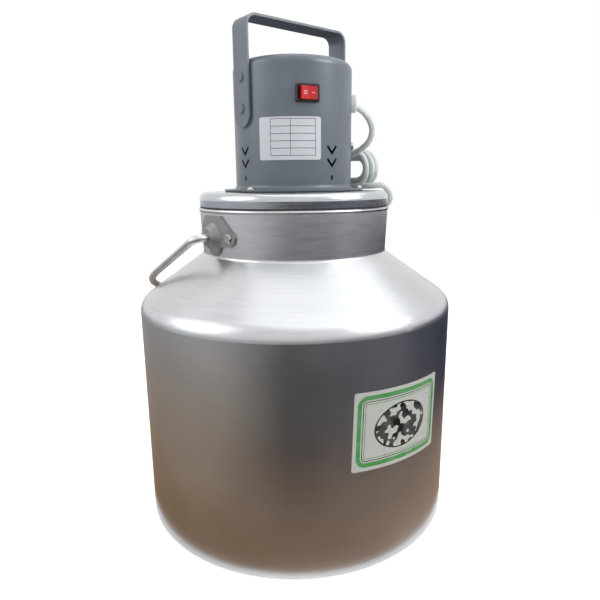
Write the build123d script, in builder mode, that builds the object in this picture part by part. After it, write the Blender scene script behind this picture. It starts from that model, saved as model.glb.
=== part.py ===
from build123d import *
import os
from math import atan2, cos, degrees, pi, radians, sin, tan

os.makedirs("parts", exist_ok=True)

# Electric butter churn: a spun aluminium can with a bail handle, and a lift-off head that carries
# the motor on the lid and the agitator below it. Millimetres, +Z up, origin on the table under the
# can's axis. The bail's pivots lie on X, the picture label faces -Y. Azimuths are degrees from -Y
# towards +X.

# Can
can_radius = 152.0
can_wall = 1.5
seam_height = 205.6
crease_height = 214.0
crease_round = 16.0
foot_width = 12.0
foot_rise = 4.0
foot_round = 4.0
neck_base_radius = 89.6
neck_base_height = 258.1
neck_lip_radius = 91.3
neck_lip_height = 299.4
neck_root_round = 3.0
lip_bead_radius = 1.8

# Lid
lid_sheet = 1.6
lid_top = 315.4
lid_radius = 91.9
lid_skirt_radius = 91.0
lid_skirt_bottom = 302.6
lid_edge_round = 6.5
seat_gap = 0.3
collar_sheet = 1.2
collar_depth = 29.0
collar_flange = 10.0
collar_bend = 5.0
collar_clearance = 0.7
seal_width = 3.0

# Motor housing
housing_radius = 55.5
housing_sheet = 1.4
housing_top = 430.0
housing_top_round = 7.0
flange_radius = 67.0
flare_round = 4.0
gasket_thickness = 1.0
gasket_margin = 0.6
flange_screw_circle = 63.0
flange_screw_radius = 2.0
flange_screw_azimuths = (-75.0, 45.0, 165.0)
screw_head_radius = 3.6
screw_head_height = 2.2
nut_flats = 7.0
nut_thickness = 3.2
vent_azimuths = (-90.0, 0.0, 90.0, 180.0)
vent_tips = (337.8, 348.8)
vent_half_width = 5.2
vent_rise = 6.3
vent_stroke = 2.3
vent_drop_height = 327.8
vent_drop_length = 4.4

# Carrying strap, flat bar bent over the housing
strap_width = 22.0
strap_end_share = 0.49  # of the width, so a short flat stays between the end's two rounds
strap_thickness = 2.0
strap_top = 465.0
strap_bottom = 371.8
strap_bend = 10.0
strap_gap = 0.2
strap_rivet_heights = (387.5, 414.0)
strap_rivet_radius = 2.2
strap_rivet_head = 4.2
rivet_head_height = 1.3
rivet_set = 0.15
head_round = 0.6
closing_head = 1.6

# Rocker switch
switch_azimuth = -25.3
switch_height = 397.8
bezel_width = 21.0
bezel_height = 15.0
bezel_thickness = 2.2
bezel_corner = 1.6
bezel_edge = 0.8
switch_body = (18.6, 12.4, 18.0)
switch_pocket = (16.8, 6.0)
barb_reach = 0.6
rocker_width = 14.6
rocker_height = 10.6
rocker_gap = 0.3
rocker_tilt = 10.0
rocker_crown = 1.2
rocker_foot = 1.5
rocker_pivot_depth = 1.0
rocker_pin_radius = 1.0
rocker_pin_length = 0.9
running_gap = 0.06
terminal_size = (0.8, 4.8, 7.0)

# Labels, foil on the metal
label_thickness = 0.2
sheet_gap = 0.05
label_corner = 2.0
rating_label_azimuth = -41.3
rating_label_height = 361.0
rating_label_size = (56.0, 36.0)
picture_label_azimuth = -3.0
picture_label_height = 127.3
picture_label_size = (97.0, 68.0)
picture_label_tilt = -1.7

# Cord and what holds it
cord_radius = 2.9
bend_share = 0.45  # of the shorter run beside a corner, which its bend may take
power_route = (
    (31.8, -24.2, 396.0),
    (49.3, -37.6, 395.5),
    (65.0, -43.0, 378.0),
    (68.0, -36.0, 360.5),
    (69.5, -20.0, 351.0),
    (75.0, -4.0, 351.0),
)
tail_route = (
    (78.0, -28.0, 344.0),
    (80.0, -30.5, 330.0),
    (85.6, -40.0, 321.0),
    (94.1, -40.8, 309.5),
    (101.3, -32.4, 300.4),
    (103.8, -18.3, 297.5),
    (101.3, 2.9, 307.4),
    (95.9, 23.0, 315.4),
    (84.5, 43.1, 321.5),
    (67.0, 59.5, 322.5),
)
gland_azimuth = 52.7
gland_height = 396.0
gland_disc_radius = 8.2
gland_disc_thickness = 4.6
gland_neck_radius = 5.8
gland_flange_radius = 7.4
gland_flange_thickness = 2.0
coil_distance = 77.0
coil_half_length = 32.0
coil_half_height = 19.5
coil_layers = 2
coil_columns = 3
coil_slack = 0.2
terminal_block_azimuth = 46.0
terminal_block_height = 357.0
terminal_block_size = (24.0, 9.0, 16.0)
block_screw_share = 0.8

# Plug
plug_face = (34.0, 13.6)
plug_tail = (13.0, 10.0)
plug_front = 10.0
plug_length = 28.0
sleeve_length = 16.0
sleeve_radii = (3.5, 4.8)
plug_pin_radius = 2.0
plug_pin_length = 19.0
plug_pin_spacing = 18.6

# Ears and bail
ear_height = 276.8
ear_sheet = 2.0
ear_half_width = 21.0
ear_top = (13.0, 19.0)
ear_lobe_radius = 7.5
ear_tongue_radius = 9.8
ear_foot_gap = 2.0
ear_rivet_radius = 2.4
ear_rivet_head = 4.0
ear_dome_reach = 8.5
ear_dome_foot = (12.0, 14.5)
ear_dome_mouth = 5.6
wire_radius = 3.5
bail_half_width = 111.0
bail_reach = 172.4
bail_corner = 83.0
bail_hook = 9.0
bail_drop = 25.2
bail_pin_reach = 93.0
bail_pin_head = 4.6
bail_pin_head_length = 3.0

# Motor
shaft_radius = 4.0
shaft_top = 398.0
shaft_bottom = 286.0
stator_radius = 42.0
stator_bore = 22.2
stator_bottom = 338.0
stator_stack = 32.0
slot_count = 12
slot_width = 5.0
slot_root = 33.0
slot_start = 24.6
slot_mouth = 2.0
slot_liner = 0.3
end_turn = 6.0
air_gap = 0.5
end_ring = 4.0
end_ring_bore = 12.0
bracket_rim = 7.0
bracket_plate = 3.0
bearing_radius = 11.0
bearing_width = 7.0
boss_wall = 2.0
shield_recess = 0.5
window_count = 6
window_length = 16.0
window_width = 7.0
tie_circle = 38.0
tie_radius = 2.0
tie_azimuths = (90.0, 210.0, 330.0)
spacer_radius = 5.0
capacitor_azimuth = 150.0
capacitor_size = (30.0, 12.0, 28.0)
capacitor_distance = 34.8
capacitor_corner = 3.0
fan_radius = 26.0
fan_hub_radius = 8.0
fan_blades = 7
fan_height = 8.0
fan_shaft_stub = 1.0
fan_disc = 1.2
fan_blade_turn = 25.0

# Bush, coupling and agitator
bush_radius = 9.0
bush_flange = 13.0
bush_flange_thickness = 2.0
bush_depth = 5.9
coupling_radius = 10.0
coupling_length = 32.0
coupling_top = 302.0
agitator_radius = 5.0
agitator_bottom = 30.0
agitator_top = 285.0
grub_radius = 2.5
grub_heights = (277.0, 294.0)
impeller_radius = 55.0
impeller_hub = 11.0
impeller_bottom = 38.0
impeller_height = 24.0
impeller_blades = 4
blade_chord = 27.0
blade_thickness = 2.4
blade_root_pitch = 52.0
blade_tip_pitch = 26.0
nut_height = 6.0
impeller_nut_flats = 16.0

hole_clearance = 0.2


def wall_plane(radius, azimuth, height):
    """Plane on a round wall: x runs along the wall, y up, z outwards."""
    a = radians(azimuth)
    return Plane(
        origin=(radius * sin(a), -radius * cos(a), height),
        x_dir=(cos(a), sin(a), 0),
        z_dir=(sin(a), -cos(a), 0),
    )


def polar(radius, azimuth, height):
    a = radians(azimuth)
    return Vector(radius * sin(a), -radius * cos(a), height)


def neck_radius_at(height):
    rise = (height - neck_base_height) / (neck_lip_height - neck_base_height)
    return neck_base_radius + rise * (neck_lip_radius - neck_base_radius)


def neck_plane(azimuth, lift=0.0):
    """Plane square to the sloping neck at the ears' height: x runs along the wall, z outwards."""
    slope = atan2(neck_lip_radius - neck_base_radius, neck_lip_height - neck_base_height)
    a = radians(azimuth)
    outward = Vector(sin(a) * cos(slope), -cos(a) * cos(slope), -sin(slope))
    origin = polar(neck_radius_at(ear_height), azimuth, ear_height) + outward * lift
    return Plane(origin=origin, x_dir=(cos(a), sin(a), 0), z_dir=outward)


def sheet_section(points, radii, thickness, side):
    """Half section of a sheet metal turning: its outer line, thickened to one side."""
    with BuildSketch(Plane.XZ) as section:
        with BuildLine():
            FilletPolyline(*points, radius=radii)
            offset(amount=thickness, side=side)
        make_face()
    return section.sketch


# Can: base and wall in one spun piece
with BuildPart() as can_body:
    with BuildSketch(Plane.XZ) as can_section:
        with BuildLine():
            foot_inner = can_radius - foot_width
            Polyline(
                (0, foot_rise),
                (foot_inner - foot_rise, foot_rise),
                (foot_inner, 0),
                (can_radius, 0),
                (can_radius, seam_height),
                (can_radius - can_wall, seam_height),
                (can_radius - can_wall, can_wall),
                (foot_inner + can_wall / 2, can_wall),
                (foot_inner - foot_rise + can_wall / 2, foot_rise + can_wall),
                (0, foot_rise + can_wall),
                close=True,
            )
        make_face()
        outer_corner = can_section.vertices().sort_by_distance((can_radius, 0, 0))[0]
        fillet(outer_corner, radius=foot_round)
        inner_corner = can_section.vertices().sort_by_distance((can_radius - can_wall, 0, can_wall))[0]
        fillet(inner_corner, radius=foot_round - can_wall)
    revolve(axis=Axis.Z)

# Rivets stand square to the neck at the ears' lobes
lobe_turn = degrees(ear_half_width / neck_radius_at(ear_height))
ear_rivet_azimuths = [side + turn for side in (-90, 90) for turn in (-lobe_turn, lobe_turn)]

# Can: shoulder and neck, welded to the wall at the seam, with a rolled bead at the lip
crease_turn = atan2(can_radius - neck_base_radius, neck_base_height - crease_height)
crease_room = (crease_height - seam_height - sheet_gap) / tan(crease_turn / 2)
with BuildPart() as can_shoulder:
    profile = sheet_section(
        [
            (can_radius, seam_height),
            (can_radius, crease_height),
            (neck_base_radius, neck_base_height),
            (neck_lip_radius, neck_lip_height),
        ],
        [min(crease_round, crease_room), neck_root_round],
        can_wall,
        Side.LEFT,
    )
    revolve(profile, axis=Axis.Z)
    with BuildSketch(Plane.XZ):
        with Locations((neck_lip_radius - can_wall / 2, neck_lip_height)):
            Circle(lip_bead_radius)
    revolve(axis=Axis.Z)
    for azimuth in ear_rivet_azimuths:
        with BuildSketch(neck_plane(azimuth, lift=can_wall)):
            Circle(ear_rivet_radius)
        extrude(amount=-3 * can_wall, mode=Mode.SUBTRACT)


def bail_ear(azimuth):
    """Stamped ear: a plate curved to the neck, two rivet lobes and a hollow dome for the bail's end."""
    flat = wall_plane(0, azimuth, ear_height)
    tongue_centre = neck_base_height + ear_foot_gap + ear_tongue_radius - ear_height
    face = wall_plane(neck_radius_at(ear_height) + ear_sheet / 2, azimuth, ear_height)
    low = ear_height - 1.5 * ear_half_width
    high = ear_height + 1.5 * ear_half_width
    with BuildPart() as ear:
        with BuildSketch(flat):
            with BuildLine():
                top = Line((-ear_top[0], ear_top[1]), ear_top)
                right_lobe = CenterArc((ear_half_width, 0), ear_lobe_radius, 55, -135)
                left_lobe = CenterArc((-ear_half_width, 0), ear_lobe_radius, 260, -135)
                tongue = CenterArc((0, tongue_centre), ear_tongue_radius, -20, -140)
                Line(top @ 1, right_lobe @ 0)
                Spline(right_lobe @ 1, tongue @ 0, tangents=[right_lobe % 1, tongue % 0])
                Spline(tongue @ 1, left_lobe @ 0, tangents=[tongue % 1, left_lobe % 0])
                Line(left_lobe @ 1, top @ 0)
            make_face()
        extrude(amount=can_radius)
        with BuildSketch(Plane.XZ):
            with BuildLine():
                Polyline(
                    (neck_radius_at(low) + sheet_gap, low),
                    (neck_radius_at(low) + sheet_gap + ear_sheet, low),
                    (neck_radius_at(high) + sheet_gap + ear_sheet, high),
                    (neck_radius_at(high) + sheet_gap, high),
                    close=True,
                )
            make_face()
        revolve(axis=Axis.Z, mode=Mode.INTERSECT)
        with BuildSketch(face):
            Ellipse(ear_dome_foot[0], ear_dome_foot[1])
        with BuildSketch(face.offset(ear_dome_reach - ear_sheet / 2)):
            Circle(ear_dome_mouth + ear_sheet)
        loft()
        with BuildSketch(face.offset(-1.5 * ear_sheet)):
            Ellipse(ear_dome_foot[0] - ear_sheet, ear_dome_foot[1] - ear_sheet)
        with BuildSketch(face.offset(ear_dome_reach - 1.5 * ear_sheet)):
            Circle(ear_dome_mouth)
        loft(mode=Mode.SUBTRACT)
        with BuildSketch(flat):
            Circle(wire_radius + running_gap)
        extrude(amount=can_radius, mode=Mode.SUBTRACT)
        for turn in (-lobe_turn, lobe_turn):
            with BuildSketch(neck_plane(azimuth + turn)):
                Circle(ear_rivet_radius)
            extrude(amount=2 * ear_sheet, mode=Mode.SUBTRACT)
    return ear


def headed_pin(plane, radius, head_radius, head_height, length):
    """Round low head standing on the plane, with its shank below."""
    with BuildPart() as pin:
        with BuildSketch(plane):
            Circle(head_radius)
        extrude(amount=head_height)
        crown = pin.faces().sort_by(Axis(plane.origin, plane.z_dir))[-1]
        chamfer(crown.edges(), length=head_round * head_height)
        with BuildSketch(plane):
            Circle(radius)
        extrude(amount=-length)
    return pin.part


def button_rivet(plane, radius, head_radius, grip):
    """Rivet with a low head outside and a flatter closing head at the far end of its grip."""
    with BuildPart() as rivet:
        add(headed_pin(plane, radius, head_radius, rivet_head_height, grip))
        with BuildSketch(plane.offset(-grip)):
            Circle(closing_head * radius)
        extrude(amount=-rivet_head_height / 2)
    return rivet.part


def hex_nut(plane, bore, flats, thickness):
    with BuildPart() as nut:
        with BuildSketch(plane):
            RegularPolygon(radius=flats / 2, side_count=6, major_radius=False)
            Circle(bore, mode=Mode.SUBTRACT)
        extrude(amount=thickness)
    return nut.part


def wrapped_label(radius, azimuth, height, size, tilt=0.0):
    """Foil rectangle wrapped round a wall; its width is measured along the wall."""
    foil_radius = radius + sheet_gap
    chord = 2 * foil_radius * sin(size[0] / 2 / foil_radius)
    with BuildPart() as label:
        with BuildSketch(wall_plane(0, azimuth, height)):
            RectangleRounded(chord, size[1], label_corner, rotation=tilt)
        extrude(amount=radius + label_corner)
        with BuildSketch(Plane.XY.offset(height - size[1])):
            Circle(foil_radius + label_thickness)
            Circle(foil_radius, mode=Mode.SUBTRACT)
        extrude(amount=2 * size[1], mode=Mode.INTERSECT)
    return label


ear_left = bail_ear(-90)
ear_right = bail_ear(90)

with BuildPart() as ear_rivets:
    for azimuth in ear_rivet_azimuths:
        seat = neck_plane(azimuth, lift=sheet_gap + ear_sheet)
        grip = sheet_gap + ear_sheet + can_wall + rivet_set
        add(button_rivet(seat, ear_rivet_radius, ear_rivet_head, grip))

picture_label = wrapped_label(
    can_radius, picture_label_azimuth, picture_label_height, picture_label_size, picture_label_tilt
)

# Bail: round wire bent to a D in one plane, its ends turned in and upset inside the ears' domes
drop = radians(bail_drop)
bail_plane = Plane(origin=(0, 0, ear_height), x_dir=(1, 0, 0), z_dir=(0, sin(drop), cos(drop)))
with BuildPart() as bail_handle:
    with BuildLine(bail_plane):
        bail_path = FilletPolyline(
            (-bail_pin_reach, 0),
            (-bail_half_width, 0),
            (-bail_half_width, bail_reach),
            (bail_half_width, bail_reach),
            (bail_half_width, 0),
            (bail_pin_reach, 0),
            radius=[bail_hook, bail_corner, bail_corner, bail_hook],
        )
    with BuildSketch(Plane(origin=bail_path @ 0, z_dir=bail_path % 0)):
        Circle(wire_radius)
    sweep()
    for side in (-1, 1):
        with BuildSketch(Plane(origin=(side * bail_pin_reach, 0, ear_height), z_dir=(side, 0, 0))):
            Circle(bail_pin_head)
        extrude(amount=bail_pin_head_length)

# Lid: a pressed cap that carries the motor, with a collar that centres it in the neck
lid_underside = lid_top - lid_sheet
with BuildPart() as lid:
    profile = sheet_section(
        [(bush_radius, lid_top), (lid_radius, lid_top), (lid_skirt_radius, lid_skirt_bottom)],
        [lid_edge_round],
        lid_sheet,
        Side.RIGHT,
    )
    revolve(profile, axis=Axis.Z)
    with BuildSketch(Plane.XY.offset(lid_top)):
        for azimuth in tie_azimuths:
            with Locations(polar(tie_circle, azimuth, 0)):
                Circle(tie_radius + hole_clearance)
        for azimuth in flange_screw_azimuths:
            with Locations(polar(flange_screw_circle, azimuth, 0)):
                Circle(flange_screw_radius + hole_clearance)
    extrude(amount=-2 * lid_sheet, mode=Mode.SUBTRACT)

bead_top = neck_lip_height + lip_bead_radius
collar_radius = neck_lip_radius - can_wall / 2 - lip_bead_radius - collar_clearance
with BuildPart() as lid_collar:
    profile = sheet_section(
        [
            (collar_radius - collar_flange, lid_underside),
            (collar_radius, lid_underside),
            (collar_radius, lid_underside - collar_depth),
        ],
        [collar_bend],
        collar_sheet,
        Side.RIGHT,
    )
    revolve(profile, axis=Axis.Z)

with BuildPart() as lid_seal:
    with BuildSketch(Plane.XY.offset(bead_top + seat_gap)):
        Circle(collar_radius + seal_width)
        Circle(collar_radius, mode=Mode.SUBTRACT)
    extrude(amount=lid_skirt_bottom - bead_top - seat_gap)

# Bush where the shaft passes the lid
with BuildPart() as shaft_bush:
    with BuildSketch(Plane.XY.offset(lid_top)):
        Circle(bush_flange)
    extrude(amount=bush_flange_thickness)
    with BuildSketch(Plane.XY.offset(lid_top)):
        Circle(bush_radius)
    extrude(amount=-bush_depth)
    with BuildSketch(Plane.XY.offset(lid_top + bush_flange_thickness)):
        Circle(shaft_radius + running_gap)
    extrude(amount=-bush_depth - bush_flange_thickness, mode=Mode.SUBTRACT)

# Motor housing: a deep drawn cap with a flared foot, standing on a gasket
flange_underside = lid_top + gasket_thickness
flange_top = flange_underside + housing_sheet
with BuildPart() as housing_gasket:
    with BuildSketch(Plane.XY.offset(lid_top)):
        Circle(flange_radius - gasket_margin)
        Circle(housing_radius - housing_sheet, mode=Mode.SUBTRACT)
        for azimuth in flange_screw_azimuths:
            with Locations(polar(flange_screw_circle, azimuth, 0)):
                Circle(flange_screw_radius + hole_clearance, mode=Mode.SUBTRACT)
    extrude(amount=gasket_thickness)

switch_face = wall_plane(housing_radius, switch_azimuth, switch_height)
gland_face = wall_plane(housing_radius, gland_azimuth, gland_height)
block_face = wall_plane(housing_radius, terminal_block_azimuth, terminal_block_height)
strap_inner = housing_radius + strap_gap
strap_outer = strap_inner + strap_thickness

with BuildPart() as motor_housing:
    profile = sheet_section(
        [
            (flange_radius, flange_top),
            (housing_radius, flange_top),
            (housing_radius, housing_top),
            (0, housing_top),
        ],
        [flare_round, housing_top_round],
        housing_sheet,
        Side.LEFT,
    )
    revolve(profile, axis=Axis.Z)
    for azimuth in vent_azimuths:
        for tip in vent_tips:
            with BuildSketch(wall_plane(stator_radius, azimuth, tip)):
                with BuildLine():
                    Polyline((-vent_half_width, vent_rise), (0, 0), (vent_half_width, vent_rise))
                trace(line_width=vent_stroke)
            extrude(amount=housing_radius, mode=Mode.SUBTRACT)
        with BuildSketch(wall_plane(stator_radius, azimuth, vent_drop_height)):
            SlotOverall(vent_drop_length, vent_stroke, rotation=90)
        extrude(amount=housing_radius, mode=Mode.SUBTRACT)
    with BuildSketch(switch_face):
        Rectangle(switch_body[0] + 2 * hole_clearance, switch_body[1] + 2 * hole_clearance)
    extrude(amount=-3 * housing_sheet, mode=Mode.SUBTRACT)
    for face, radius in ((gland_face, gland_neck_radius), (block_face, flange_screw_radius)):
        with BuildSketch(face.offset(housing_sheet)):
            Circle(radius)
        extrude(amount=-4 * housing_sheet, mode=Mode.SUBTRACT)
    for height in strap_rivet_heights:
        with BuildSketch(Plane.YZ):
            with Locations((0, height)):
                Circle(strap_rivet_radius)
        extrude(amount=2 * housing_radius, both=True, mode=Mode.SUBTRACT)
    with BuildSketch(Plane.XY.offset(flange_top + housing_sheet)):
        for azimuth in flange_screw_azimuths:
            with Locations(polar(flange_screw_circle, azimuth, 0)):
                Circle(flange_screw_radius + hole_clearance)
    extrude(amount=-3 * housing_sheet, mode=Mode.SUBTRACT)

with BuildPart() as flange_screws:
    for azimuth in flange_screw_azimuths:
        seat = Plane.XY.offset(flange_top)
        seat.origin = polar(flange_screw_circle, azimuth, flange_top)
        length = flange_top - lid_underside + nut_thickness + flange_screw_radius / 2
        add(headed_pin(seat, flange_screw_radius, screw_head_radius, screw_head_height, length))

with BuildPart() as flange_nuts:
    for azimuth in flange_screw_azimuths:
        seat = Plane(origin=polar(flange_screw_circle, azimuth, lid_underside), z_dir=(0, 0, -1))
        add(hex_nut(seat, flange_screw_radius, nut_flats, nut_thickness))

# Carrying strap: flat bar bent over the housing and riveted to its sides
with BuildPart() as carry_strap:
    with BuildSketch(Plane.XZ):
        with BuildLine():
            FilletPolyline(
                (-strap_outer, strap_bottom),
                (-strap_outer, strap_top),
                (strap_outer, strap_top),
                (strap_outer, strap_bottom),
                radius=strap_bend,
            )
            offset(amount=strap_thickness, side=Side.RIGHT)
        make_face()
    extrude(amount=strap_width / 2, both=True)
    fillet(carry_strap.edges().filter_by(Axis.X).group_by(Axis.Z)[0], radius=strap_end_share * strap_width)
    for height in strap_rivet_heights:
        with BuildSketch(Plane.YZ):
            with Locations((0, height)):
                Circle(strap_rivet_radius)
        extrude(amount=2 * housing_radius, both=True, mode=Mode.SUBTRACT)

with BuildPart() as strap_rivets:
    for side in (-90, 90):
        for height in strap_rivet_heights:
            grip = strap_thickness + strap_gap + housing_sheet + rivet_set
            seat = wall_plane(strap_outer, side, height)
            add(button_rivet(seat, strap_rivet_radius, strap_rivet_head, grip))

rating_label = wrapped_label(housing_radius, rating_label_azimuth, rating_label_height, rating_label_size)

# Rocker switch: a snap-in frame with a pocket, and a rocker on two short pins
with BuildPart() as switch_frame:
    with BuildSketch(switch_face):
        RectangleRounded(bezel_width, bezel_height, bezel_corner)
    extrude(amount=bezel_thickness)
    bezel_front = switch_frame.faces().sort_by(Axis(switch_face.origin, switch_face.z_dir))[-1]
    chamfer(bezel_front.edges(), length=bezel_edge)
    with BuildSketch(switch_face):
        Rectangle(switch_body[0], switch_body[1])
    extrude(amount=-switch_body[2])
    for side in (-1, 1):
        with BuildSketch(Plane(origin=switch_face.origin, x_dir=switch_face.x_dir, z_dir=(0, 0, -1))):
            with BuildLine():
                Polyline(
                    (side * switch_body[0] / 2, -2 * housing_sheet),
                    (side * (switch_body[0] / 2 + barb_reach), -2 * housing_sheet),
                    (side * switch_body[0] / 2, -5 * housing_sheet),
                    close=True,
                )
            make_face()
        extrude(amount=switch_body[1] / 4, both=True)
    with BuildSketch(switch_face.offset(bezel_thickness)):
        Rectangle(switch_pocket[0], rocker_height + 2 * rocker_gap)
    extrude(amount=-bezel_thickness - switch_pocket[1], mode=Mode.SUBTRACT)
    pivot = switch_face.origin - switch_face.z_dir * rocker_pivot_depth
    pivot_plane = Plane(origin=pivot, x_dir=switch_face.x_dir, z_dir=(0, 0, -1))
    with BuildSketch(pivot_plane):
        Circle(rocker_pin_radius + running_gap)
    extrude(amount=switch_body[1] / 2, both=True, mode=Mode.SUBTRACT)

with BuildPart() as switch_rocker:
    with BuildSketch(pivot_plane.rotated((0, 0, rocker_tilt))):
        with BuildLine():
            rise = rocker_pivot_depth + bezel_thickness + rocker_crown
            half = rocker_width / 2
            Polyline(
                (-half, rise + half * tan(radians(rocker_tilt))),
                (0, rise),
                (half, rise + half * tan(radians(rocker_tilt))),
                (half, rocker_foot),
                (half / 2, -2 * rocker_foot),
                (-half / 2, -2 * rocker_foot),
                (-half, rocker_foot),
                close=True,
            )
        make_face()
    extrude(amount=rocker_height / 2, both=True)
    with BuildSketch(pivot_plane):
        Circle(rocker_pin_radius)
    extrude(amount=rocker_height / 2 + rocker_pin_length, both=True)

with BuildPart() as switch_terminals:
    with BuildSketch(switch_face.offset(-switch_body[2])):
        with GridLocations(switch_body[0] / 2, switch_body[1] / 2, 2, 2):
            Rectangle(terminal_size[0], terminal_size[1])
    extrude(amount=-terminal_size[2])

# Cord gland: a soft grommet seated on both sides of the housing wall
with BuildPart() as cord_gland:
    with BuildSketch(gland_face.offset(-2 * housing_sheet)):
        Circle(gland_disc_radius)
    extrude(amount=2 * housing_sheet + gland_disc_thickness)
    disc_front = cord_gland.faces().sort_by(Axis(gland_face.origin, gland_face.z_dir))[-1]
    fillet(disc_front.edges(), radius=gland_disc_thickness / 3)
    with BuildSketch(Plane.XY.offset(gland_height - 2 * gland_disc_radius)):
        Circle(housing_radius)
    extrude(amount=4 * gland_disc_radius, mode=Mode.SUBTRACT)
    inner_reach = ((housing_radius - housing_sheet) ** 2 - gland_flange_radius**2) ** 0.5
    with BuildSketch(wall_plane(inner_reach, gland_azimuth, gland_height)):
        Circle(gland_neck_radius)
    extrude(amount=housing_radius + gland_disc_thickness / 2 - inner_reach)
    with BuildSketch(wall_plane(inner_reach, gland_azimuth, gland_height)):
        Circle(gland_flange_radius)
    extrude(amount=-gland_flange_thickness)
    with BuildSketch(gland_face.offset(2 * gland_disc_thickness)):
        Circle(cord_radius)
    extrude(amount=-housing_radius / 2, mode=Mode.SUBTRACT)

# Terminal block on the inside of the wall, held by one screw from outside
with BuildPart() as terminal_block:
    with BuildSketch(block_face.offset(-housing_sheet - terminal_block_size[1])):
        Rectangle(terminal_block_size[0], terminal_block_size[2])
        Circle(flange_screw_radius, mode=Mode.SUBTRACT)
    extrude(amount=2 * terminal_block_size[1])
    with BuildSketch(Plane.XY.offset(terminal_block_height - terminal_block_size[2])):
        Circle(housing_radius - housing_sheet)
    extrude(amount=2 * terminal_block_size[2], mode=Mode.INTERSECT)
    with BuildSketch(block_face.offset(-housing_sheet - terminal_block_size[1])):
        with GridLocations(terminal_block_size[0] / 1.5, terminal_block_size[2] / 2, 2, 2):
            Circle(flange_screw_radius)
    extrude(amount=terminal_block_size[1] / 3, mode=Mode.SUBTRACT)

with BuildPart() as block_screw:
    length = housing_sheet + block_screw_share * terminal_block_size[1]
    add(headed_pin(block_face, flange_screw_radius, screw_head_radius, screw_head_height, length))

# Motor: laminated stator between two brackets, on spacers above the lid
stator_top = stator_bottom + stator_stack
with BuildPart() as stator:
    with BuildSketch(Plane.XY.offset(stator_bottom)):
        Circle(stator_radius)
        Circle(stator_bore, mode=Mode.SUBTRACT)
        with PolarLocations((slot_start + slot_root) / 2, slot_count):
            Rectangle(slot_root - slot_start, slot_width, mode=Mode.SUBTRACT)
        with PolarLocations((stator_bore + slot_start) / 2, slot_count):
            Rectangle(slot_start - stator_bore + slot_mouth, slot_mouth, mode=Mode.SUBTRACT)
        for azimuth in tie_azimuths:
            with Locations(polar(tie_circle, azimuth, 0)):
                Circle(tie_radius + hole_clearance, mode=Mode.SUBTRACT)
    extrude(amount=stator_stack)

with BuildPart() as stator_windings:
    for height in (stator_bottom - end_turn, stator_top):
        with BuildSketch(Plane.XY.offset(height)):
            Circle(slot_root)
            Circle(slot_start, mode=Mode.SUBTRACT)
        extrude(amount=end_turn)
    with BuildSketch(Plane.XY.offset(stator_bottom - end_turn / 2)):
        with PolarLocations((slot_start + slot_root) / 2, slot_count):
            Rectangle(slot_root - slot_start - 2 * slot_liner, slot_width - 2 * slot_liner)
    extrude(amount=stator_stack + end_turn)

with BuildPart() as rotor_core:
    with BuildSketch(Plane.XY.offset(stator_bottom)):
        Circle(stator_bore - air_gap)
        Circle(shaft_radius, mode=Mode.SUBTRACT)
    extrude(amount=stator_stack)

with BuildPart() as rotor_end_rings:
    for height in (stator_bottom - end_ring, stator_top):
        with BuildSketch(Plane.XY.offset(height)):
            Circle(stator_bore - 2 * air_gap)
            Circle(end_ring_bore, mode=Mode.SUBTRACT)
        extrude(amount=end_ring)

with BuildPart() as motor_shaft:
    with BuildSketch(Plane.XY.offset(shaft_bottom)):
        Circle(shaft_radius)
    extrude(amount=shaft_top - shaft_bottom)


def motor_bracket(height, way):
    """Die-cast end bracket on the stator's face: rim, plate and a boss that holds a bearing."""
    plate = Plane.XY.offset(height + way * bracket_rim)
    boss = bearing_width + boss_wall
    with BuildPart() as bracket:
        with BuildSketch(Plane.XY.offset(height)):
            Circle(stator_radius)
            Circle(stator_radius - bracket_rim, mode=Mode.SUBTRACT)
        extrude(amount=way * bracket_rim)
        with BuildSketch(plate):
            Circle(stator_radius)
        extrude(amount=way * bracket_plate)
        with BuildSketch(plate):
            Circle(bearing_radius + boss_wall)
        extrude(amount=way * boss)
        with BuildSketch(plate):
            Circle(bearing_radius)
        extrude(amount=way * bearing_width, mode=Mode.SUBTRACT)
        with BuildSketch(plate):
            Circle(bearing_radius - boss_wall)
            with PolarLocations((bearing_radius + stator_radius) / 2, window_count):
                SlotOverall(window_length, window_width, rotation=90)
        extrude(amount=way * boss, mode=Mode.SUBTRACT)
        with BuildSketch(Plane.XY.offset(height)):
            for azimuth in tie_azimuths:
                with Locations(polar(tie_circle, azimuth, 0)):
                    Circle(tie_radius + hole_clearance)
        extrude(amount=way * (bracket_rim + bracket_plate), mode=Mode.SUBTRACT)
    return bracket


def ball_bearing(height, way):
    with BuildPart() as bearing:
        with BuildSketch(Plane.XY.offset(height + way * bracket_rim)):
            Circle(bearing_radius)
            Circle(shaft_radius + running_gap, mode=Mode.SUBTRACT)
        extrude(amount=way * bearing_width)
        for face in (bracket_rim, bracket_rim + bearing_width - shield_recess):
            with BuildSketch(Plane.XY.offset(height + way * face)):
                Circle(bearing_radius - boss_wall)
                Circle(shaft_radius + boss_wall, mode=Mode.SUBTRACT)
            extrude(amount=way * shield_recess, mode=Mode.SUBTRACT)
    return bearing


lower_bracket = motor_bracket(stator_bottom, -1)
upper_bracket = motor_bracket(stator_top, 1)
lower_bearing = ball_bearing(stator_bottom, -1)
upper_bearing = ball_bearing(stator_top, 1)

# Three long bolts clamp the motor to the lid through spacers
bracket_bottom = stator_bottom - bracket_rim - bracket_plate
bracket_top = stator_top + bracket_rim + bracket_plate
with BuildPart() as tie_bolts:
    for azimuth in tie_azimuths:
        seat = Plane(origin=polar(tie_circle, azimuth, bracket_top))
        length = bracket_top - lid_underside + nut_thickness + tie_radius / 2
        add(headed_pin(seat, tie_radius, screw_head_radius, screw_head_height, length))

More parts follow.
